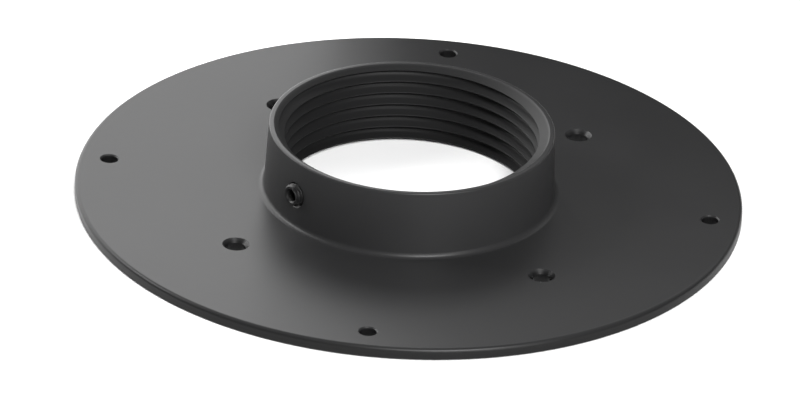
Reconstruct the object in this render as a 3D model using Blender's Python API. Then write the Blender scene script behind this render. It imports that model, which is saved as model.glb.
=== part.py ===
"""Threaded pipe adapter: a round black plate with a collar that is tapped for a pipe.

The plate lies on its flat underside with the collar up. The origin is on the bore's axis,
in the plane of the underside, and +X passes through one of the rim holes.
"""
import math

import bmesh
import bpy
from mathutils import Matrix, Vector

MM = 0.001

# Plate
PLATE_DIAMETER = 117.0 * MM
PLATE_THICKNESS = 2.2 * MM
PLATE_TOP_ROUND = 0.7 * MM
PLATE_BOTTOM_BEVEL = 0.3 * MM

# Taper pipe thread of 1 1/2 inch nominal size, 11.5 turns to the inch, whose pitch
# diameter is measured at the mouth of the collar
THREAD_PITCH = 2.2087 * MM
PITCH_DIAMETER = 46.287 * MM
THREAD_DEPTH = 1.767 * MM
FLANK_HALF_ANGLE = math.radians(30.0)
TAPER_ON_DIAMETER = 1.0 / 16.0
THREAD_START_IN_FACETS = 41

# Collar
COLLAR_HEIGHT = 12.3 * MM
MOUTH_RELIEF = 0.12 * MM
MOUTH_BEVEL_SLOPE = math.radians(30.0)
COLLAR_RIM_WIDTH = 0.85 * MM
COLLAR_DRAFT = math.radians(2.3)
COLLAR_FILLET = 1.0 * MM
COLLAR_RIM_ROUND = 0.3 * MM
BOTTOM_BEVEL = 0.55 * MM

# Screw holes through the plate
RIM_HOLE_DIAMETER = 3.0 * MM
RIM_HOLE_INSET = 5.4 * MM
RIM_HOLE_BEVEL = 0.2 * MM
INNER_HOLE_DIAMETER = 3.4 * MM
INNER_HOLE_CIRCLE = 75.5 * MM
INNER_HOLE_BEVEL = 0.7 * MM
HOLES_PER_CIRCLE = 4

# Headless set screw that locks the pipe, in line with one of the inner holes
SET_SCREW_DIAMETER = 4.0 * MM
SET_SCREW_LENGTH = 4.0 * MM
SET_SCREW_PROUD = 1.0 * MM
SET_SCREW_BEVEL = 0.35 * MM
SET_SCREW_CLEARANCE = 0.3 * MM
SET_SCREW_HOLE_BEVEL = 0.3 * MM
HEX_KEY_ACROSS_FLATS = 2.0 * MM
HEX_SOCKET_DEPTH = 1.6 * MM
HEX_SIDES = 6

# Fineness of the round forms
TURN_SEGMENTS = 96
HOLE_SEGMENTS = 24
SCREW_SEGMENTS = 32
ROUND_STEPS = 4
FILLET_STEPS = 4
SHARP_EDGE_ANGLE = math.radians(25.0)

# How far a cutter reaches past the surface that it cuts
CUT_MARGIN = 1.0 * MM
MERGE_DISTANCE = 0.001 * MM

# Sizes that follow from the ones above
TOTAL_HEIGHT = PLATE_THICKNESS + COLLAR_HEIGHT
PLATE_RADIUS = PLATE_DIAMETER / 2
MINOR_RADIUS = (PITCH_DIAMETER - THREAD_DEPTH) / 2
MAJOR_RADIUS = (PITCH_DIAMETER + THREAD_DEPTH) / 2
THREAD_FLAT = THREAD_PITCH / 2 - THREAD_DEPTH * math.tan(FLANK_HALF_ANGLE)
TAPER_ON_RADIUS = TAPER_ON_DIAMETER / 2
CORED_RADIUS = MINOR_RADIUS - TAPER_ON_RADIUS * TOTAL_HEIGHT - CUT_MARGIN
MOUTH_RADIUS = MAJOR_RADIUS + MOUTH_RELIEF
COLLAR_RIM_RADIUS = MOUTH_RADIUS + COLLAR_RIM_WIDTH
COLLAR_BASE_RADIUS = COLLAR_RIM_RADIUS + COLLAR_HEIGHT * math.tan(COLLAR_DRAFT)
RIM_HOLE_CIRCLE = PLATE_DIAMETER - 2 * RIM_HOLE_INSET
SET_SCREW_ANGLE = math.radians(225.0)
SET_SCREW_HEIGHT = PLATE_THICKNESS + COLLAR_HEIGHT / 2


def clear_objects():
    """Remove every object that the opened file holds."""
    for old in list(bpy.data.objects):
        bpy.data.objects.remove(old, do_unlink=True)


def make_material(name, color, roughness, metallic):
    """Return a Principled material of one colour."""
    material = bpy.data.materials.new(name)
    material.use_nodes = True
    shader = material.node_tree.nodes["Principled BSDF"]
    shader.inputs["Base Color"].default_value = (*color, 1.0)
    shader.inputs["Roughness"].default_value = roughness
    shader.inputs["Metallic"].default_value = metallic
    return material


def level_shading(made):
    """Let the large flat faces lead the shading, after the cuts have split them."""
    weighted = made.modifiers.new("level_shading", "WEIGHTED_NORMAL")
    weighted.keep_sharp = True


def make_object(name, bm, material=None):
    """Turn a bmesh into a linked object, shaded smooth with its corners left sharp."""
    mesh = bpy.data.meshes.new(name)
    bmesh.ops.recalc_face_normals(bm, faces=bm.faces)
    bm.to_mesh(mesh)
    bm.free()
    mesh.shade_smooth()
    mesh.set_sharp_from_angle(angle=SHARP_EDGE_ANGLE)
    made = bpy.data.objects.new(name, mesh)
    bpy.context.scene.collection.objects.link(made)
    if material:
        mesh.materials.append(material)
    return made


def cut(target, cutter):
    """Cut the cutter's shape out of the target, and mark the cutter as a tool."""
    cutter.hide_render = True
    cutter.display_type = "WIRE"
    boolean = target.modifiers.new(cutter.name, "BOOLEAN")
    boolean.operation = "DIFFERENCE"
    boolean.solver = "EXACT"
    boolean.object = cutter


def arc(centre_r, centre_z, radius, start, end, steps):
    """Return points of an arc in the half section, from one angle to another."""
    points = []
    for step in range(steps + 1):
        angle = start + (end - start) * step / steps
        points.append((centre_r + radius * math.cos(angle), centre_z + radius * math.sin(angle)))
    return points


def turned(outline, segments, closed):
    """Return a bmesh of an outline of (radius, height) points turned about the Z axis.

    The X and Y axes pass through the middle of a facet, and never along an edge.
    """
    bm = bmesh.new()
    turn = math.pi / segments
    verts = [bm.verts.new((r * math.cos(turn), r * math.sin(turn), z)) for r, z in outline]
    edges = [bm.edges.new(pair) for pair in zip(verts, verts[1:])]
    if closed:
        edges.append(bm.edges.new((verts[-1], verts[0])))
    bmesh.ops.spin(bm, geom=verts + edges, cent=(0, 0, 0), axis=(0, 0, 1),
                   angle=math.tau, steps=segments, use_merge=True)
    bmesh.ops.remove_doubles(bm, verts=bm.verts, dist=MERGE_DISTANCE)
    return bm


def cast_outline():
    """Return the half section of the casting before it is tapped and drilled."""
    rim_round = arc(PLATE_RADIUS - PLATE_TOP_ROUND, PLATE_THICKNESS - PLATE_TOP_ROUND,
                    PLATE_TOP_ROUND, 0.0, math.pi / 2, ROUND_STEPS)

    # A drafted wall meets a round sooner than an upright one by this share of its radius.
    lean = (1 - math.sin(COLLAR_DRAFT)) / math.cos(COLLAR_DRAFT)
    fillet = arc(COLLAR_BASE_RADIUS + COLLAR_FILLET * lean, PLATE_THICKNESS + COLLAR_FILLET,
                 COLLAR_FILLET, 1.5 * math.pi, math.pi + COLLAR_DRAFT, FILLET_STEPS)
    collar_round = arc(COLLAR_RIM_RADIUS - COLLAR_RIM_ROUND * lean, TOTAL_HEIGHT - COLLAR_RIM_ROUND,
                       COLLAR_RIM_ROUND, COLLAR_DRAFT, math.pi / 2, ROUND_STEPS)

    # The mouth is countersunk past the thread's major diameter, the far end only a little.
    bottom_radius = MINOR_RADIUS - TAPER_ON_RADIUS * TOTAL_HEIGHT + BOTTOM_BEVEL
    mouth_depth = (MOUTH_RADIUS - CORED_RADIUS) * math.tan(MOUTH_BEVEL_SLOPE)
    bore = [
        (MOUTH_RADIUS, TOTAL_HEIGHT),
        (CORED_RADIUS, TOTAL_HEIGHT - mouth_depth),
        (CORED_RADIUS, bottom_radius - CORED_RADIUS),
        (bottom_radius, 0.0),
    ]
    underside = [
        (PLATE_RADIUS - PLATE_BOTTOM_BEVEL, 0.0),
        (PLATE_RADIUS, PLATE_BOTTOM_BEVEL),
    ]
    return underside + rim_round + fillet + collar_round + bore


def thread_cutter():
    """Return a tapered tap: a helical tooth row longer than the bore, closed at both ends."""
    tooth = [
        (MINOR_RADIUS, -THREAD_FLAT / 2),
        (MINOR_RADIUS, THREAD_FLAT / 2),
        (MAJOR_RADIUS, (THREAD_PITCH - THREAD_FLAT) / 2),
        (MAJOR_RADIUS, (THREAD_PITCH + THREAD_FLAT) / 2),
        (MINOR_RADIUS, THREAD_PITCH - THREAD_FLAT / 2),
    ]
    low, high = -CUT_MARGIN, TOTAL_HEIGHT + CUT_MARGIN
    start = low - 2 * THREAD_PITCH
    turns = math.ceil((high - start) / THREAD_PITCH) + 1

    bm = bmesh.new()
    verts = [bm.verts.new((r, 0.0, start + z)) for r, z in tooth]
    edges = [bm.edges.new(pair) for pair in zip(verts, verts[1:])]
    bmesh.ops.spin(bm, geom=verts + edges, cent=(0, 0, 0), axis=(0, 0, 1),
                   dvec=(0, 0, THREAD_PITCH / TURN_SEGMENTS), angle=math.tau * turns,
                   steps=TURN_SEGMENTS * turns)
    bmesh.ops.remove_doubles(bm, verts=bm.verts, dist=MERGE_DISTANCE)

    for height, outward in ((low, -1), (high, 1)):
        bmesh.ops.bisect_plane(bm, geom=bm.verts[:] + bm.edges[:] + bm.faces[:],
                               plane_co=(0, 0, height), plane_no=(0, 0, outward), clear_outer=True)
        rim = [edge for edge in bm.edges
               if edge.is_boundary and abs(edge.verts[0].co.z - height) < MERGE_DISTANCE]
        bmesh.ops.contextual_create(bm, geom=rim)

    for vert in bm.verts:
        narrowing = TAPER_ON_RADIUS * (TOTAL_HEIGHT - vert.co.z)
        radius = vert.co.xy.length
        vert.co.xy *= (radius - narrowing) / radius
    start_angle = THREAD_START_IN_FACETS * math.tau / TURN_SEGMENTS
    bmesh.ops.rotate(bm, verts=bm.verts, cent=(0, 0, 0),
                     matrix=Matrix.Rotation(start_angle, 3, "Z"))
    return make_object("thread_tap", bm)


def drill_outline(diameter, bevel, depth):
    """Return the half section of a drill that also bevels the hole's top edge."""
    radius = diameter / 2
    return [
        (0.0, -CUT_MARGIN),
        (radius, -CUT_MARGIN),
        (radius, depth - bevel),
        (radius + bevel + CUT_MARGIN, depth + CUT_MARGIN),
        (0.0, depth + CUT_MARGIN),
    ]


def hole_circle_cutter(name, diameter, bevel, circle, first_angle):
    """Return one cutter that holds the drills of a whole bolt circle."""
    bm = turned(drill_outline(diameter, bevel, PLATE_THICKNESS), HOLE_SEGMENTS, closed=False)
    bmesh.ops.translate(bm, verts=bm.verts, vec=(circle / 2, 0, 0))
    bmesh.ops.rotate(bm, verts=bm.verts, cent=(0, 0, 0),
                     matrix=Matrix.Rotation(first_angle, 3, "Z"))
    first = bm.verts[:] + bm.edges[:] + bm.faces[:]
    bmesh.ops.spin(bm, geom=first, cent=(0, 0, 0), axis=(0, 0, 1),
                   angle=math.tau * (HOLES_PER_CIRCLE - 1) / HOLES_PER_CIRCLE,
                   steps=HOLES_PER_CIRCLE - 1, use_duplicate=True)
    return make_object(name, bm)


def collar_radius(height):
    """Return the radius of the collar's drafted wall at a height."""
    return COLLAR_RIM_RADIUS + (TOTAL_HEIGHT - height) * math.tan(COLLAR_DRAFT)


def point_along_set_screw(made):
    """Turn an object whose Z axis is a screw's to stand out of the collar's wall."""
    outward = Vector((math.cos(SET_SCREW_ANGLE), math.sin(SET_SCREW_ANGLE), 0.0))
    made.location = outward * collar_radius(SET_SCREW_HEIGHT)
    made.location.z = SET_SCREW_HEIGHT
    made.rotation_euler = outward.to_track_quat("Z", "Y").to_euler()


def set_screw_drill():
    """Return the cutter of the set screw's hole, which breaks through into the bore."""
    wall = collar_radius(SET_SCREW_HEIGHT) - CORED_RADIUS
    outline = drill_outline(SET_SCREW_DIAMETER + 2 * SET_SCREW_CLEARANCE,
                            SET_SCREW_HOLE_BEVEL, wall)
    bm = turned(outline, HOLE_SEGMENTS, closed=False)
    bmesh.ops.translate(bm, verts=bm.verts, vec=(0, 0, -wall))
    cutter = make_object("set_screw_drill", bm)
    point_along_set_screw(cutter)
    return cutter


def make_body():
    """Cast, tap and drill the one-piece plate and collar."""
    black = make_material("satin_black_coat", (0.018, 0.018, 0.019), 0.42, 0.0)
    body = make_object("adapter_body", turned(cast_outline(), TURN_SEGMENTS, closed=True), black)
    cut(body, thread_cutter())
    cut(body, hole_circle_cutter("rim_drills", RIM_HOLE_DIAMETER, RIM_HOLE_BEVEL,
                                 RIM_HOLE_CIRCLE, 0.0))
    cut(body, hole_circle_cutter("inner_drills", INNER_HOLE_DIAMETER, INNER_HOLE_BEVEL,
                                 INNER_HOLE_CIRCLE, math.pi / HOLES_PER_CIRCLE))
    cut(body, set_screw_drill())
    level_shading(body)
    return body


def make_set_screw():
    """Turn the headless set screw and cut its hexagon socket."""
    steel = make_material("black_oxide_steel", (0.06, 0.06, 0.062), 0.35, 1.0)
    radius = SET_SCREW_DIAMETER / 2
    tip = SET_SCREW_PROUD - SET_SCREW_LENGTH
    outline = [
        (0.0, tip),
        (radius - SET_SCREW_BEVEL, tip),
        (radius, tip + SET_SCREW_BEVEL),
        (radius, SET_SCREW_PROUD - SET_SCREW_BEVEL),
        (radius - SET_SCREW_BEVEL, SET_SCREW_PROUD),
        (0.0, SET_SCREW_PROUD),
    ]
    screw = make_object("set_screw", turned(outline, SCREW_SEGMENTS, closed=False), steel)
    point_along_set_screw(screw)

    corner_radius = HEX_KEY_ACROSS_FLATS / 2 / math.cos(math.pi / HEX_SIDES)
    bm = bmesh.new()
    bmesh.ops.create_cone(bm, cap_ends=True, segments=HEX_SIDES, radius1=corner_radius,
                          radius2=corner_radius, depth=HEX_SOCKET_DEPTH + CUT_MARGIN)
    socket_middle = SET_SCREW_PROUD + (CUT_MARGIN - HEX_SOCKET_DEPTH) / 2
    bmesh.ops.translate(bm, verts=bm.verts, vec=(0, 0, socket_middle))
    socket = make_object("hex_socket_cutter", bm)
    point_along_set_screw(socket)
    cut(screw, socket)
    level_shading(screw)
    return screw


def main():
    """Build the adapter in an empty scene."""
    clear_objects()
    make_body()
    make_set_screw()


main()
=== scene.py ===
"""Looks of a threaded pipe adapter: a black plate with a tapped collar and a set screw.

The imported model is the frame. The casting and its set screw are modelled again here at the
sizes of the solids, with finer threads, rounds and countersinks, and get their finishes.
They lie on a pale floor in soft studio light, seen from where the photograph was taken.
"""

import logging
import math
from dataclasses import dataclass
from enum import Enum
from typing import Any, Iterable, Optional, Sequence, Union

import bmesh
import bpy
from mathutils import Matrix, Vector


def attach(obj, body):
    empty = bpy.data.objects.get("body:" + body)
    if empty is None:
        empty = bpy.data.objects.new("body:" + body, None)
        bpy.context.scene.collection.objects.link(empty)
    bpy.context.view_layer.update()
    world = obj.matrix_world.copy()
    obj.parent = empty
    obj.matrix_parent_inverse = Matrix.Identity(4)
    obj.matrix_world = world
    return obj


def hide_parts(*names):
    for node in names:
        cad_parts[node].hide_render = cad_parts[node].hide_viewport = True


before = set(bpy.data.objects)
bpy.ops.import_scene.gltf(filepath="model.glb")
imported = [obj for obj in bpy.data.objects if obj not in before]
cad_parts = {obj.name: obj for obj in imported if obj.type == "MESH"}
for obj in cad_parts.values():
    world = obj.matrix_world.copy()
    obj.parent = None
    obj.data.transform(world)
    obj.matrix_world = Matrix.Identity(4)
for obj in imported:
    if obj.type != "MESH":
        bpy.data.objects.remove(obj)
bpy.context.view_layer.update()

MM = 0.001
BODY = "root"
IMAGE_WIDTH = 800
SENSOR_WIDTH = 36.0
LENS_REACH = 100.0
WELD = 0.001 * MM
FINE_WELD = 0.0005 * MM
NOISE_MEAN = 0.5

log = logging.getLogger("pipe_adapter")

Point = tuple[float, float]
Color = tuple[float, float, float]


class Carve(Enum):
    """What a carving tool leaves of the blank."""

    REMOVE = "DIFFERENCE"
    KEEP_COMMON = "INTERSECT"


class FinishSlot(Enum):
    """The names of the record's material slots for the casting and the screw."""

    CASTING = "body"
    SCREW = "screw"


def polar_arc(centre: Point, radius: float, start: float, end: float, steps: int) -> list[Point]:
    """Return the points of an arc in a half section.

    Args:
        centre: Radius and height of the arc's centre.
        radius: The arc's own radius.
        start: First angle, from the outward direction.
        end: Last angle.
        steps: Number of chords.

    Returns:
        Points of radius and height, from the first angle to the last.
    """
    points = []
    for step in range(steps + 1):
        angle = start + (end - start) * step / steps
        points.append((centre[0] + radius * math.cos(angle), centre[1] + radius * math.sin(angle)))
    return points


def eased_corner(before: Point, corner: Point, after: Point, ease: float,
                 steps: int) -> list[Point]:
    """Return a curve that rounds a corner off.

    Args:
        before: The point that the way comes from.
        corner: The corner itself, which the curve passes inside of.
        after: The point that the way goes on to.
        ease: How far from the corner the curve starts and ends.
        steps: Number of chords.

    Returns:
        The curve's points, from the side of the first point to the side of the last.
    """
    tip = Vector(corner)
    start = tip + (Vector(before) - tip).normalized() * ease
    end = tip + (Vector(after) - tip).normalized() * ease
    curve = []
    for step in range(steps + 1):
        share = step / steps
        curve.append(tuple(start.lerp(tip, share).lerp(tip.lerp(end, share), share)))
    return curve


def lathe(outline: Sequence[Point], segments: int, closed: bool = False) -> bmesh.types.BMesh:
    """Turn a half section about the Z axis.

    Args:
        outline: Points of radius and height.
        segments: Number of facets in a turn. The X axis passes through the middle of one.
        closed: Whether the last point joins the first, as on a ring.

    Returns:
        The turned bmesh, with its seam and poles merged.
    """
    bm = bmesh.new()
    half_facet = math.pi / segments
    cosine, sine = math.cos(half_facet), math.sin(half_facet)
    verts = [bm.verts.new((r * cosine, r * sine, z)) for r, z in outline]
    edges = [bm.edges.new(pair) for pair in zip(verts, verts[1:])]
    if closed:
        edges.append(bm.edges.new((verts[-1], verts[0])))
    bmesh.ops.spin(bm, geom=verts + edges, cent=(0, 0, 0), axis=(0, 0, 1),
                   angle=math.tau, steps=segments, use_merge=True)
    bmesh.ops.remove_doubles(bm, verts=bm.verts, dist=WELD)
    bmesh.ops.recalc_face_normals(bm, faces=bm.faces)
    return bm


def carve(blank: bmesh.types.BMesh,
          tools: Iterable[tuple[bmesh.types.BMesh, Carve]]) -> bmesh.types.BMesh:
    """Carve a blank with closed tools, by exact Booleans.

    Args:
        blank: The shape to carve, which is used up.
        tools: Each tool's shape, used up as well, and what it leaves.

    Returns:
        The carved shape.
    """
    stock = scratch_object("stock", blank)
    helpers = []
    for shape, action in tools:
        helper = scratch_object("tool", shape)
        helpers.append(helper)
        boolean = stock.modifiers.new("carve", "BOOLEAN")
        boolean.operation = action.value
        boolean.solver = "EXACT"
        boolean.object = helper
    bpy.context.view_layer.update()
    carved = bmesh.new()
    carved.from_object(stock, bpy.context.evaluated_depsgraph_get())
    for done in [stock, *helpers]:
        mesh = done.data
        bpy.data.objects.remove(done)
        bpy.data.meshes.remove(mesh)
    bmesh.ops.remove_doubles(carved, verts=carved.verts, dist=FINE_WELD)
    bmesh.ops.recalc_face_normals(carved, faces=carved.faces)
    return carved


def scratch_object(name: str, bm: bmesh.types.BMesh) -> bpy.types.Object:
    """Link a bmesh as an object, and free the bmesh.

    Args:
        name: The name of the object and its mesh.
        bm: Its shape, which is used up.

    Returns:
        The linked object.
    """
    mesh = bpy.data.meshes.new(name)
    bm.to_mesh(mesh)
    bm.free()
    made = bpy.data.objects.new(name, mesh)
    bpy.context.scene.collection.objects.link(made)
    return made


def finished_piece(name: str, bm: bmesh.types.BMesh, material: bpy.types.Material,
                   node: str, sharp_angle: float) -> bpy.types.Object:
    """Make a bmesh a piece of the part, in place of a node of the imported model.

    Args:
        name: The piece's name.
        bm: Its shape in the part's own frame, which is used up.
        material: Its finish.
        node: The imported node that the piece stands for.
        sharp_angle: Edges that bend more than this stay crisp.

    Returns:
        The piece, riding on the part's body.
    """
    piece = scratch_object(name, bm)
    piece.data.name = name
    piece.data.shade_smooth()
    piece.data.set_sharp_from_angle(angle=sharp_angle)
    piece.data.materials.append(material)
    level = piece.modifiers.new("level_shading", "WEIGHTED_NORMAL")
    level.keep_sharp = True
    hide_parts(node)
    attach(piece, BODY)
    log.info("%s: %d faces, in place of %s", name, len(piece.data.polygons), node)
    return piece


class Signal:
    """A shader socket on which plain arithmetic adds Math nodes."""

    def __init__(self, bench: "NodeBench", socket: bpy.types.NodeSocket) -> None:
        """Wrap an output socket of one of the bench's nodes.

        Args:
            bench: Where the socket's node stands and new nodes go.
            socket: The output socket.
        """
        self.bench = bench
        self.socket = socket

    def _math(self, operation: str, *operands: "Scalar") -> "Signal":
        """Add a Math node.

        Args:
            operation: What it works out.
            operands: The values, in the order of its inputs.

        Returns:
            The result.
        """
        return self.bench.add("ShaderNodeMath", {"operation": operation},
                              dict(enumerate(operands)))

    def __add__(self, other: "Scalar") -> "Signal":
        """Return self + other."""
        return self._math("ADD", self, other)

    def __radd__(self, other: "Scalar") -> "Signal":
        """Return other + self."""
        return self._math("ADD", other, self)

    def __sub__(self, other: "Scalar") -> "Signal":
        """Return self - other."""
        return self._math("SUBTRACT", self, other)

    def __rsub__(self, other: "Scalar") -> "Signal":
        """Return other - self."""
        return self._math("SUBTRACT", other, self)

    def __mul__(self, other: "Scalar") -> "Signal":
        """Return self * other."""
        return self._math("MULTIPLY", self, other)

    def __rmul__(self, other: "Scalar") -> "Signal":
        """Return other * self."""
        return self._math("MULTIPLY", other, self)

    def ramp(self, low: float, high: float) -> "Signal":
        """Turn the value into a smooth step.

        Args:
            low: Where the step starts, at 0.
            high: Where it ends, at 1.

        Returns:
            The step, from 0 to 1.
        """
        return self.bench.add("ShaderNodeMapRange",
                              {"interpolation_type": "SMOOTHSTEP"},
                              {"Value": self, "From Min": low, "From Max": high})


Scalar = Union[Signal, float]


class NodeBench:
    """The nodes of one material, with its Principled shader as the last of them."""

    def __init__(self, name: str) -> None:
        """Start a material.

        Args:
            name: The material's name.
        """
        self.material = bpy.data.materials.new(name)
        self.material.use_nodes = True
        self.tree = self.material.node_tree
        self.shader = self.tree.nodes["Principled BSDF"]

    def add(self, kind: str, settings: Optional[dict[str, Any]] = None,
            values: Optional[dict[Union[int, str], Any]] = None,
            output: Union[int, str] = 0) -> Signal:
        """Add a node and return one of its outputs.

        Args:
            kind: The node's type.
            settings: The node's own properties, which are set first.
            values: Numbers, colours or signals for its input sockets, by name or place.
            output: The output to return, by name or place among the enabled ones.

        Returns:
            The chosen output.
        """
        node = self.tree.nodes.new(kind)
        for key, setting in (settings or {}).items():
            setattr(node, key, setting)
        self.feed(node, values or {})
        outputs = [socket for socket in node.outputs if socket.enabled]
        if isinstance(output, str):
            return Signal(self, next(s for s in outputs if s.name == output))
        return Signal(self, outputs[output])

    def feed(self, node: bpy.types.Node, values: dict[Union[int, str], Any]) -> None:
        """Set or link a node's input sockets.

        Args:
            node: The node.
            values: Numbers, colours or signals for its sockets, by name or place.
        """
        for key, value in values.items():
            if isinstance(key, int):
                socket = node.inputs[key]
            else:
                socket = next(s for s in node.inputs if s.enabled and s.name == key)
            if isinstance(value, Signal):
                self.tree.links.new(value.socket, socket)
            else:
                socket.default_value = value

    def place(self) -> Signal:
        """Return the point on the piece, in metres in the part's own frame."""
        return self.add("ShaderNodeTexCoord", output="Object")

    def along(self, point: Signal) -> tuple[Signal, Signal, Signal]:
        """Split a point.

        Args:
            point: The point.

        Returns:
            Its X, Y and Z.
        """
        split = {"Vector": point}
        return tuple(self.add("ShaderNodeSeparateXYZ", None, split, output=axis)
                     for axis in "XYZ")

    def from_axis(self, point: Signal) -> Signal:
        """Measure how far a point is from the Z axis.

        Args:
            point: The point.

        Returns:
            The distance.
        """
        flat = self.add("ShaderNodeVectorMath", {"operation": "MULTIPLY"},
                        {0: point, 1: (1.0, 1.0, 0.0)})
        return self.add("ShaderNodeVectorMath", {"operation": "LENGTH"}, {0: flat},
                        output="Value")

    def clouds(self, point: Signal, size: float, detail: float = 2.0,
               roughness: float = 0.5) -> Signal:
        """Make soft noise.

        Args:
            point: Where the noise is read.
            size: How large its blotches are, in metres.
            detail: How many finer layers it has.
            roughness: How strong those layers are.

        Returns:
            The noise, from 0 to 1.
        """
        return self.add("ShaderNodeTexNoise", {"noise_dimensions": "3D"},
                        {"Vector": point, "Scale": 1.0 / size, "Detail": detail,
                         "Roughness": roughness})

    def blend(self, amount: Scalar, low: Union[Signal, Color],
              high: Union[Signal, Color]) -> Signal:
        """Mix two colours.

        Args:
            amount: The share of the second colour.
            low: The first colour.
            high: The second colour.

        Returns:
            The mixed colour.
        """
        ends = [end if isinstance(end, Signal) else (*end, 1.0) for end in (low, high)]
        return self.add("ShaderNodeMix", {"data_type": "RGBA"},
                        {"Factor": amount, "A": ends[0], "B": ends[1]})

    def bump(self, height: Signal, distance: float) -> Signal:
        """Roughen the surface's normal.

        Args:
            height: How high the surface stands at a point.
            distance: What a height of 1 stands for, in metres.

        Returns:
            The normal.
        """
        return self.add("ShaderNodeBump", None,
                        {"Strength": 1.0, "Distance": distance, "Height": height})


@dataclass(frozen=True)
class SatinBlackCoat:
    """Baked satin black coat, with a fine grain and a slow ripple left by the spray.

    Its colour is darkened in the bore as painted shade, and the bore is duller. Its colour is
    also darkened as painted shade on the plate's edge and in the screw holes, between the
    plate's faces. Handling has rubbed the rim.
    """

    dark: Color = (0.0150, 0.0150, 0.0154)
    light: Color = (0.0220, 0.0220, 0.0224)
    roughness: float = 0.37
    patchiness: float = 0.05
    grain_size: float = 0.32 * MM
    grain_height: float = 0.004 * MM
    ripple_size: float = 2.6 * MM
    ripple_height: float = 0.006 * MM
    patch_size: float = 15.0 * MM
    patch_weight: float = 0.6
    grain_weight: float = 0.4
    rub_weight: float = 0.25
    rub_shine: float = 0.03
    rub_low: float = 0.35
    rub_high: float = 0.65
    rub_width: float = 0.5 * MM
    side_shade_start: float = 0.15 * MM
    side_shade_depth: float = 0.6 * MM
    side_shade_share: float = 0.4
    bore_shade_share: float = 0.58
    bore_roughness: float = 0.12
    ior: float = 1.27

    def make(self, plate_top: float, mouth_radius: float,
             collar_top: float) -> bpy.types.Material:
        """Make the material.

        Args:
            plate_top: Height of the plate's upper face.
            mouth_radius: Radius of the bore's mouth, inside which the colour is darkened as
                painted shade.
            collar_top: Height of the collar's rim.

        Returns:
            The coat's material.
        """
        bench = NodeBench("satin_black_coat")
        point = bench.place()
        grain = bench.clouds(point, self.grain_size, detail=3.0, roughness=0.6)
        ripple = bench.clouds(point, self.ripple_size, detail=1.0)
        patches = bench.clouds(point, self.patch_size, detail=3.0)
        height = bench.along(point)[2]
        reach = bench.from_axis(point)
        # Painted shade: the colour is darkened on the plate's side edge and in the screw holes,
        # from just above the underside to just below the plate's top.
        side = (height.ramp(0.0, self.side_shade_start)
                * (1 - height.ramp(plate_top - self.side_shade_depth, plate_top)))
        rim = height.ramp(collar_top - self.rub_width, collar_top)
        rubbed = rim * patches.ramp(self.rub_low, self.rub_high)

        tone = (patches * self.patch_weight + grain * self.grain_weight
                + rubbed * self.rub_weight)
        # Painted shade: inside the bore's mouth the colour is darkened, and the surface is made
        # duller.
        outside = reach.ramp(mouth_radius - self.rub_width, mouth_radius)
        painted_bore_shade = tuple(channel * self.bore_shade_share for channel in self.dark)
        painted_side_shade = tuple(channel * self.side_shade_share for channel in self.dark)
        coat = bench.blend(outside, painted_bore_shade, bench.blend(tone, self.dark, self.light))
        bench.feed(bench.shader, {
            "Base Color": bench.blend(side, coat, painted_side_shade),
            "Roughness": (self.roughness + (patches - NOISE_MEAN) * self.patchiness
                          + (grain - NOISE_MEAN) * self.patchiness
                          - rubbed * self.rub_shine
                          + (1 - outside) * self.bore_roughness),
            "Metallic": 0.0,
            "IOR": self.ior,
            "Normal": bench.bump(grain + ripple * (self.ripple_height / self.grain_height),
                                 self.grain_height),
        })
        return bench.material


@dataclass(frozen=True)
class BlackOxideSteel:
    """Steel blackened by oxide, a little brighter where a key or a hand has rubbed it."""

    dark: Color = (0.0085, 0.0085, 0.0088)
    bright: Color = (0.024, 0.024, 0.0235)
    roughness: float = 0.42
    metallic: float = 0.2
    ior: float = 1.35
    stain_size: float = 0.9 * MM
    stain_roughness: float = 0.2
    wear_low: float = 0.45
    wear_high: float = 0.75
    scratch_size: float = 0.12 * MM
    scratch_roughness: float = 0.1
    scratch_height: float = 0.002 * MM

    def make(self) -> bpy.types.Material:
        """Make the material.

        Returns:
            The steel's material.
        """
        bench = NodeBench("black_oxide_steel")
        point = bench.place()
        stain = bench.clouds(point, self.stain_size, detail=3.0)
        scratch = bench.clouds(point, self.scratch_size, detail=2.0, roughness=0.7)
        wear = stain.ramp(self.wear_low, self.wear_high)
        bench.feed(bench.shader, {
            "Base Color": bench.blend(wear, self.dark, self.bright),
            "Roughness": (self.roughness + (stain - NOISE_MEAN) * self.stain_roughness
                          + (scratch - NOISE_MEAN) * self.scratch_roughness),
            "Metallic": self.metallic,
            "IOR": self.ior,
            "Normal": bench.bump(scratch, self.scratch_height),
        })
        return bench.material


@dataclass(frozen=True)
class PaleFloorPaint:
    """Matt near-white paint of the studio floor."""

    pale: Color = (0.94, 0.94, 0.94)
    paler: Color = (0.97, 0.97, 0.97)
    roughness: float = 0.7
    specular: float = 0.2
    patch_size: float = 180.0 * MM

    def make(self) -> bpy.types.Material:
        """Make the material.

        Returns:
            The paint's material.
        """
        bench = NodeBench("pale_floor_paint")
        patches = bench.clouds(bench.place(), self.patch_size)
        bench.feed(bench.shader, {
            "Base Color": bench.blend(patches, self.pale, self.paler),
            "Roughness": self.roughness,
            "Specular IOR Level": self.specular,
        })
        return bench.material


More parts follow.
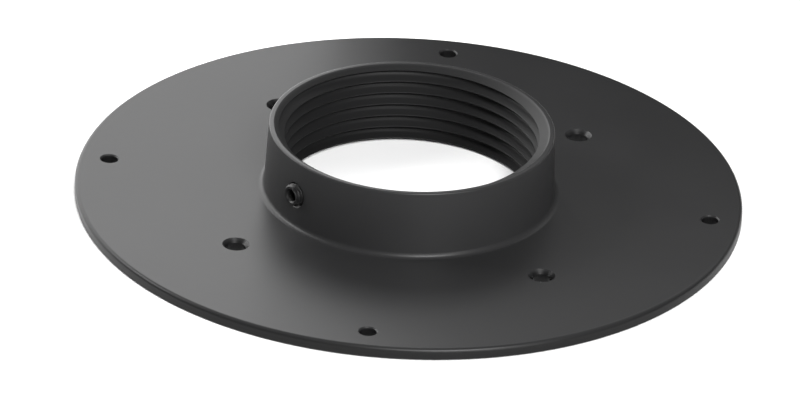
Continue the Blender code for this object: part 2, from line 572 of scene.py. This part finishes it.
@dataclass(frozen=True)
class HelicalThread:
    """A rod's thread of V form with rounded roots and crests, straight or tapered.

    Each tip is rounded over a share of the pitch, from its V's point along both flanks.
    """

    pitch: float
    minor_radius: float
    major_radius: float
    segments: int
    root_round: float
    crest_round: float
    round_steps: int = 6
    flank_half_angle: float = math.radians(30.0)
    spare_turns: int = 2
    taper_on_radius: float = 0.0
    gauge_height: float = 0.0
    start_angle: float = 0.0

    def radius_loss(self, height: float) -> float:
        """Return how much smaller the radii are at a height than at gauge height."""
        return self.taper_on_radius * (self.gauge_height - height)

    def tooth(self) -> list[Point]:
        """Return the half section of one pitch, from root to root.

        Returns:
            Points of radius and height, from the middle of one root to that of the next.
        """
        middle = (self.minor_radius + self.major_radius) / 2
        half_height = self.pitch / 4 / math.tan(self.flank_half_angle)
        inner, outer = middle - half_height, middle + half_height
        # The points of the V, by radius and by height in pitches.
        points = [(outer, -0.5), (inner, 0.0), (outer, 0.5), (inner, 1.0), (outer, 1.5)]
        before, root, crest, next_root, beyond = [(r, z * self.pitch) for r, z in points]
        root_ease = self.root_round * self.pitch
        crest_ease = self.crest_round * self.pitch
        half = self.round_steps // 2
        return [*eased_corner(before, root, crest, root_ease, self.round_steps)[half:],
                *eased_corner(root, crest, next_root, crest_ease, self.round_steps),
                *eased_corner(crest, next_root, beyond, root_ease,
                              self.round_steps)[:half + 1]]

    def rod(self, low: float, high: float) -> bmesh.types.BMesh:
        """Model a closed threaded rod, as a tap or as the thread of a screw.

        Args:
            low: Height of its lower end.
            high: Height of its upper end.

        Returns:
            The rod about the Z axis.
        """
        # The spiral's own ends lie outside the rod, where they are cut away.
        start = low - self.spare_turns * self.pitch
        turns = math.ceil((high - start) / self.pitch) + 1
        bm = bmesh.new()
        verts = [bm.verts.new((r, 0.0, start + z)) for r, z in self.tooth()]
        edges = [bm.edges.new(pair) for pair in zip(verts, verts[1:])]
        bmesh.ops.spin(bm, geom=verts + edges, cent=(0, 0, 0), axis=(0, 0, 1),
                       dvec=(0, 0, self.pitch / self.segments), angle=math.tau,
                       steps=self.segments)
        turn = bm.verts[:] + bm.edges[:] + bm.faces[:]
        for count in range(1, turns):
            again = bmesh.ops.duplicate(bm, geom=turn)["geom"]
            bmesh.ops.translate(bm, vec=(0, 0, count * self.pitch),
                                verts=[v for v in again if isinstance(v, bmesh.types.BMVert)])
        bmesh.ops.remove_doubles(bm, verts=bm.verts, dist=WELD)
        for height, outward in ((low, -1), (high, 1)):
            self._close(bm, height, outward)
        for vert in bm.verts:
            radius = vert.co.xy.length
            if radius > 0.0:
                vert.co.xy *= (radius - self.radius_loss(vert.co.z)) / radius
        bmesh.ops.rotate(bm, verts=bm.verts, cent=(0, 0, 0),
                         matrix=Matrix.Rotation(self.start_angle, 3, "Z"))
        bmesh.ops.recalc_face_normals(bm, faces=bm.faces)
        return bm

    @staticmethod
    def _close(bm: bmesh.types.BMesh, height: float, outward: int) -> None:
        """Cut a rod flat and close the cut with a face.

        Args:
            bm: The rod.
            height: Where it is cut.
            outward: Which side goes: 1 for the upper one, -1 for the lower one.
        """
        bmesh.ops.bisect_plane(bm, geom=bm.verts[:] + bm.edges[:] + bm.faces[:],
                               plane_co=(0, 0, height), plane_no=(0, 0, outward),
                               clear_outer=True)
        rim = [edge for edge in bm.edges
               if edge.is_boundary and abs(edge.verts[0].co.z - height) < WELD]
        bmesh.ops.contextual_create(bm, geom=rim)


@dataclass(frozen=True)
class HoleCircle:
    """Screw holes with bevelled top edges, evenly spaced on a circle."""

    hole_diameter: float
    bevel: float
    circle_diameter: float
    first_angle: float
    count: int = 4
    segments: int = 48

    def drills(self, depth: float, margin: float) -> list[bmesh.types.BMesh]:
        """Model a drill for each hole.

        Args:
            depth: Thickness of the plate that they go through.
            margin: How far they stand out of it.

        Returns:
            The drills, in the part's own frame.
        """
        made = []
        for place in range(self.count):
            bm = lathe(drill_outline(self.hole_diameter / 2, self.bevel, depth, margin),
                       self.segments)
            angle = self.first_angle + math.tau * place / self.count
            bmesh.ops.translate(bm, verts=bm.verts, vec=(self.circle_diameter / 2, 0, 0))
            bmesh.ops.rotate(bm, verts=bm.verts, cent=(0, 0, 0),
                             matrix=Matrix.Rotation(angle, 3, "Z"))
            made.append(bm)
        return made


def drill_outline(radius: float, bevel: float, depth: float, margin: float) -> list[Point]:
    """Outline a drill that also bevels the hole's top edge.

    Args:
        radius: The hole's radius.
        bevel: Width of the bevel.
        depth: Height of the edge over the hole's other end, at 0.
        margin: How far the drill stands out at both ends.

    Returns:
        Its half section, as points of radius and height.
    """
    return [
        (0.0, -margin),
        (radius, -margin),
        (radius, depth - bevel),
        (radius + bevel + margin, depth + margin),
        (0.0, depth + margin),
    ]


@dataclass(frozen=True)
class Casting:
    """The one-piece plate and collar, tapped for the pipe and drilled for its screws."""

    plate_diameter: float = 117.0 * MM
    plate_thickness: float = 2.2 * MM
    plate_top_round: float = 0.7 * MM
    plate_bottom_bevel: float = 0.3 * MM
    collar_height: float = 12.3 * MM
    collar_rim_width: float = 0.85 * MM
    collar_draft: float = math.radians(2.3)
    collar_fillet: float = 1.0 * MM
    collar_rim_round: float = 0.3 * MM
    mouth_relief: float = 0.12 * MM
    mouth_slope: float = math.radians(30.0)
    mouth_round: float = 0.25 * MM
    bottom_bevel: float = 0.55 * MM
    thread_pitch: float = 2.2087 * MM
    pitch_diameter: float = 46.287 * MM
    thread_depth: float = 1.767 * MM
    thread_taper: float = 1.0 / 32.0
    thread_start: float = math.radians(153.75)
    ridge_round: float = 0.08
    groove_round: float = 0.45
    rim_holes: HoleCircle = HoleCircle(3.0 * MM, 0.2 * MM, 106.2 * MM, 0.0)
    inner_holes: HoleCircle = HoleCircle(3.4 * MM, 0.7 * MM, 75.5 * MM, math.radians(45.0))
    cut_margin: float = 1.0 * MM
    turn_segments: int = 192
    round_steps: int = 6
    fillet_steps: int = 8
    sharp_angle: float = math.radians(24.0)
    coat: SatinBlackCoat = SatinBlackCoat()

    @property
    def top(self) -> float:
        """Height of the collar's rim."""
        return self.plate_thickness + self.collar_height

    @property
    def thread(self) -> HelicalThread:
        """The tap of the taper pipe thread, gauged at the mouth.

        Its roots leave the bore's ridges, and its crests cut the grooves.
        """
        return HelicalThread(
            pitch=self.thread_pitch,
            minor_radius=(self.pitch_diameter - self.thread_depth) / 2,
            major_radius=(self.pitch_diameter + self.thread_depth) / 2,
            segments=self.turn_segments,
            root_round=self.ridge_round,
            crest_round=self.groove_round,
            taper_on_radius=self.thread_taper,
            gauge_height=self.top,
            start_angle=self.thread_start,
        )

    @property
    def mouth_radius(self) -> float:
        """Radius of the bore's countersunk mouth."""
        return self.thread.major_radius + self.mouth_relief

    @property
    def rim_radius(self) -> float:
        """Outer radius of the collar at its rim."""
        return self.mouth_radius + self.collar_rim_width

    def wall_radius(self, height: float) -> float:
        """Return the outer radius of the collar's wall at a height."""
        return self.rim_radius + (self.top - height) * math.tan(self.collar_draft)

    def blank_outline(self) -> list[Point]:
        """Outline the casting as it is before it is tapped and drilled.

        Returns:
            Its half section, as points of radius and height.
        """
        plate_radius = self.plate_diameter / 2
        thread = self.thread
        cored_radius = thread.minor_radius - thread.radius_loss(0.0) - self.cut_margin
        bottom_radius = cored_radius + self.cut_margin + self.bottom_bevel

        underside = [(plate_radius - self.plate_bottom_bevel, 0.0),
                     (plate_radius, self.plate_bottom_bevel)]
        plate_edge = polar_arc(
            (plate_radius - self.plate_top_round, self.plate_thickness - self.plate_top_round),
            self.plate_top_round, 0.0, math.pi / 2, self.round_steps)

        # A drafted wall meets a round sooner than an upright one by this share of its radius.
        lean = (1 - math.sin(self.collar_draft)) / math.cos(self.collar_draft)
        foot_radius = self.wall_radius(self.plate_thickness)
        fillet = polar_arc(
            (foot_radius + self.collar_fillet * lean, self.plate_thickness + self.collar_fillet),
            self.collar_fillet, 1.5 * math.pi, math.pi + self.collar_draft, self.fillet_steps)
        rim = polar_arc(
            (self.rim_radius - self.collar_rim_round * lean, self.top - self.collar_rim_round),
            self.collar_rim_round, self.collar_draft, math.pi / 2, self.round_steps)

        ease = self.mouth_round * math.tan(self.mouth_slope / 2)
        mouth = polar_arc((self.mouth_radius + ease, self.top - self.mouth_round),
                          self.mouth_round, math.pi / 2, math.pi / 2 + self.mouth_slope,
                          self.round_steps // 2)
        mouth_depth = (self.mouth_radius - cored_radius) * math.tan(self.mouth_slope)
        bore = [(cored_radius, self.top - mouth_depth),
                (cored_radius, bottom_radius - cored_radius),
                (bottom_radius, 0.0)]
        return underside + plate_edge + fillet + rim + mouth + bore

    def build(self, screw: "SetScrew") -> bpy.types.Object:
        """Cast, tap, drill and coat the piece.

        Args:
            screw: The set screw, whose hole goes through the collar's wall.

        Returns:
            The finished piece.
        """
        blank = lathe(self.blank_outline(), self.turn_segments, closed=True)
        tap = self.thread.rod(-self.cut_margin, self.top + self.cut_margin)
        drills = [*self.rim_holes.drills(self.plate_thickness, self.cut_margin),
                  *self.inner_holes.drills(self.plate_thickness, self.cut_margin),
                  screw.drill(self)]
        shape = carve(blank, [(tool, Carve.REMOVE) for tool in (tap, *drills)])
        coat = self.coat.make(self.plate_thickness, self.mouth_radius, self.top)
        return finished_piece("tapped_plate_and_collar", shape, coat,
                              "adapter_body", self.sharp_angle)


@dataclass(frozen=True)
class SetScrew:
    """The headless screw in the collar's wall, with a hexagon socket and a cup point."""

    diameter: float = 4.0 * MM
    thread_pitch: float = 0.7 * MM
    length: float = 4.0 * MM
    proud: float = 1.0 * MM
    end_bevel: float = 0.35 * MM
    angle: float = math.radians(225.0)
    key_across_flats: float = 2.0 * MM
    socket_depth: float = 1.6 * MM
    socket_bevel: float = 0.15 * MM
    cup_radius: float = 1.1 * MM
    hole_clearance: float = 0.06 * MM
    hole_bevel: float = 0.3 * MM
    margin: float = 1.0 * MM
    hex_sides: int = 6
    pilot_slope: float = math.radians(30.0)
    segments: int = 64
    thread_depth_in_pitches: float = 0.6134
    thread_round: float = 0.3
    sharp_angle: float = math.radians(28.0)
    finish: BlackOxideSteel = BlackOxideSteel()

    def seat(self, casting: Casting) -> Matrix:
        """Find where the screw sits.

        Args:
            casting: The casting that holds it.

        Returns:
            The place where its axis meets the collar's wall, with Z outward.
        """
        height = casting.plate_thickness + casting.collar_height / 2
        outward = Vector((math.cos(self.angle), math.sin(self.angle), 0.0))
        point = outward * casting.wall_radius(height)
        point.z = height
        return Matrix.Translation(point) @ outward.to_track_quat("Z", "Y").to_matrix().to_4x4()

    def drill(self, casting: Casting) -> bmesh.types.BMesh:
        """Model the drill of the screw's hole, from the wall into the bore.

        Args:
            casting: The casting that it goes through.

        Returns:
            The drill, in the part's own frame.
        """
        height = casting.plate_thickness + casting.collar_height / 2
        reach = casting.wall_radius(height) - casting.thread.minor_radius + self.margin
        bm = lathe(drill_outline(self.diameter / 2 + self.hole_clearance, self.hole_bevel,
                                 reach, self.margin), self.segments)
        bmesh.ops.translate(bm, verts=bm.verts, vec=(0, 0, -reach))
        bmesh.ops.transform(bm, verts=bm.verts, matrix=self.seat(casting))
        return bm

    def envelope(self) -> bmesh.types.BMesh:
        """Model the bevelled outside of the screw.

        Returns:
            The closed shape, with the collar's wall at height 0.
        """
        radius = self.diameter / 2
        tip = self.proud - self.length
        return lathe([
            (0.0, tip),
            (radius - self.end_bevel, tip),
            (radius, tip + self.end_bevel),
            (radius, self.proud - self.end_bevel),
            (radius - self.end_bevel, self.proud),
            (0.0, self.proud),
        ], self.segments)

    def socket_tools(self) -> list[bmesh.types.BMesh]:
        """Model the tools that cut the hexagon socket, its bevel and the cup point.

        Returns:
            The closed tools, with the collar's wall at height 0.
        """
        corner = self.key_across_flats / 2 / math.cos(math.pi / self.hex_sides)
        broach = bmesh.new()
        bmesh.ops.create_cone(broach, cap_ends=True, segments=self.hex_sides, radius1=corner,
                              radius2=corner, depth=self.socket_depth + self.margin)
        middle = self.proud + (self.margin - self.socket_depth) / 2
        bmesh.ops.translate(broach, verts=broach.verts, vec=(0, 0, middle))

        pilot_radius = self.key_across_flats / 2
        floor = self.proud - self.socket_depth
        point = floor - pilot_radius * math.tan(self.pilot_slope)
        mouth = corner + self.socket_bevel
        pilot = lathe([
            (0.0, point),
            (pilot_radius, floor),
            (pilot_radius, self.proud - (mouth - pilot_radius)),
            (mouth + self.margin, self.proud + self.margin),
            (0.0, self.proud + self.margin),
        ], self.segments)

        tip = self.proud - self.length
        cup = lathe([
            (0.0, tip - self.margin),
            (self.cup_radius + self.margin, tip - self.margin),
            (0.0, tip + self.cup_radius),
        ], self.segments)
        return [broach, pilot, cup]

    def build(self, casting: Casting) -> bpy.types.Object:
        """Cut the screw's thread and ends, blacken it and set it in the collar's wall.

        Args:
            casting: The casting that holds it.

        Returns:
            The finished piece.
        """
        radius = self.diameter / 2
        thread = HelicalThread(
            pitch=self.thread_pitch,
            minor_radius=radius - self.thread_depth_in_pitches * self.thread_pitch,
            major_radius=radius,
            segments=self.segments,
            root_round=self.thread_round,
            crest_round=self.thread_round,
        )
        rod = thread.rod(self.proud - self.length - self.margin, self.proud + self.margin)
        tools = [(self.envelope(), Carve.KEEP_COMMON)]
        tools += [(tool, Carve.REMOVE) for tool in self.socket_tools()]
        shape = carve(rod, tools)
        bmesh.ops.transform(shape, verts=shape.verts, matrix=self.seat(casting))
        return finished_piece("hex_set_screw", shape, self.finish.make(),
                              "set_screw", self.sharp_angle)


@dataclass(frozen=True)
class SoftBox:
    """A flat soft light, placed as the camera sees it: X to the right, Y away, Z up.

    Places and sizes are in metres. Radiance is that of its lit face, so it keeps its
    brightness when its size changes.
    """

    name: str
    centre: tuple[float, float, float]
    aim: tuple[float, float, float]
    width: float
    height: float
    radiance: float

    def place(self, azimuth: float) -> bpy.types.Object:
        """Hang the light in the scene.

        Args:
            azimuth: How far the camera stands round the part.

        Returns:
            The light's object.
        """
        light = bpy.data.lights.new(self.name, "AREA")
        light.shape = "RECTANGLE"
        light.size = self.width
        light.size_y = self.height
        light.energy = self.radiance * math.pi * self.width * self.height
        hung = bpy.data.objects.new(self.name, light)
        direction = Vector(self.aim) - Vector(self.centre)
        turn = direction.to_track_quat("-Z", "Y").to_matrix().to_4x4()
        hung.matrix_world = (Matrix.Rotation(azimuth, 4, "Z")
                             @ Matrix.Translation(Vector(self.centre)) @ turn)
        hung.visible_camera = False
        bpy.context.scene.collection.objects.link(hung)
        return hung


@dataclass(frozen=True)
class PhotoCamera:
    """The long lens of the photograph, and where it stood.

    Angles are in radians. Yaw, pitch and roll turn it from looking straight at the part's
    origin.
    """

    azimuth: float = math.radians(6.25)
    elevation: float = 0.48661
    distance: float = 2.01329
    focal_pixels: float = 11491.5
    yaw: float = 7.0335e-4
    pitch: float = -5.4911e-4
    roll: float = -0.0504485

    def place(self) -> bpy.types.Object:
        """Set the camera up and make it the scene's own.

        Returns:
            The camera's object.
        """
        data = bpy.data.cameras.new("photo_camera")
        data.sensor_width = SENSOR_WIDTH
        data.lens = self.focal_pixels / IMAGE_WIDTH * SENSOR_WIDTH
        data.clip_end = LENS_REACH
        camera = bpy.data.objects.new("photo_camera", data)
        upright = math.pi / 2 - self.elevation
        stand = Matrix.Rotation(self.azimuth, 4, "Z") @ Matrix.Rotation(upright, 4, "X")
        aim = (Matrix.Rotation(self.yaw, 4, "Y") @ Matrix.Rotation(self.pitch, 4, "X")
               @ Matrix.Rotation(-self.roll, 4, "Z"))
        camera.matrix_world = stand @ Matrix.Translation((0, 0, self.distance)) @ aim
        bpy.context.scene.collection.objects.link(camera)
        bpy.context.scene.camera = camera
        return camera


@dataclass(frozen=True)
class Studio:
    """A pale floor, soft lights, a dim room and the camera.

    The floor lies a hair above the plane of the part's underside, so that a view from below
    shows the underside, lit by a panel of its own.
    """

    floor_size: float = 6.0
    floor_height: float = 0.01 * MM
    room_tone: float = 0.02
    paint: PaleFloorPaint = PaleFloorPaint()
    camera: PhotoCamera = PhotoCamera()
    lights: tuple[SoftBox, ...] = (
        SoftBox("window", (-0.165, 0.10, 0.045), (-0.165, 0.0, 0.045), 0.30, 0.08, 3.5),
        SoftBox("window_top", (-0.165, 0.10, 0.115), (-0.165, 0.0, 0.115), 0.30, 0.06, 4.8),
        SoftBox("window_edge", (-0.010, 0.10, 0.035), (-0.010, 0.0, 0.035), 0.010, 0.06, 1.1),
        SoftBox("window_top_edge", (-0.010, 0.10, 0.105), (-0.010, 0.0, 0.105),
                0.010, 0.08, 5.8),
        SoftBox("low_glow", (0.105, 0.10, 0.065), (0.105, 0.0, 0.065), 0.21, 0.03, 0.22),
        SoftBox("high_glow", (0.105, 0.10, 0.105), (0.105, 0.0, 0.105), 0.21, 0.05, 1.5),
        SoftBox("high_back_panel", (0.1, 0.65, 1.1), (0.0, 0.0, 0.0), 0.8, 0.8, 0.8),
        SoftBox("high_front_panel", (0.322, -0.989, 0.937), (0.0, 0.0, 0.0), 0.5, 0.5, 35.0),
        SoftBox("low_front_panel", (0.537, -1.152, 0.27), (0.0, 0.0, 0.0), 1.0, 0.4, 6.4),
        SoftBox("left_panel", (-0.729, 0.195, 0.49), (0.0, 0.0, 0.0), 0.3, 0.3, 14.0),
        SoftBox("panel_below", (-0.35, -0.25, -0.8), (0.0, 0.0, 0.0), 0.6, 0.6, 8.0),
    )

    def build(self) -> None:
        """Lay the floor, hang the lights and set the camera up."""
        bm = bmesh.new()
        bmesh.ops.create_grid(bm, x_segments=1, y_segments=1, size=self.floor_size / 2)
        bmesh.ops.translate(bm, verts=bm.verts, vec=(0, 0, self.floor_height))
        floor = scratch_object("pale_floor", bm)
        floor.data.materials.append(self.paint.make())

        world = bpy.data.worlds.new("dim_room")
        world.use_nodes = True
        background = world.node_tree.nodes["Background"]
        background.inputs["Color"].default_value = (1.0, 1.0, 1.0, 1.0)
        background.inputs["Strength"].default_value = self.room_tone
        bpy.context.scene.world = world
        bpy.context.scene.view_settings.view_transform = "Standard"

        for light in self.lights:
            light.place(self.camera.azimuth)
        self.camera.place()
        log.info("studio: floor, %d lights and camera", len(self.lights))


def main() -> None:
    """Build the adapter and its studio."""
    logging.basicConfig(level=logging.INFO, format="%(name)s: %(message)s")
    casting = Casting()
    screw = SetScrew()
    casting.build(screw)
    screw.build(casting)
    Studio().build()


if __name__ == "__main__":
    main()
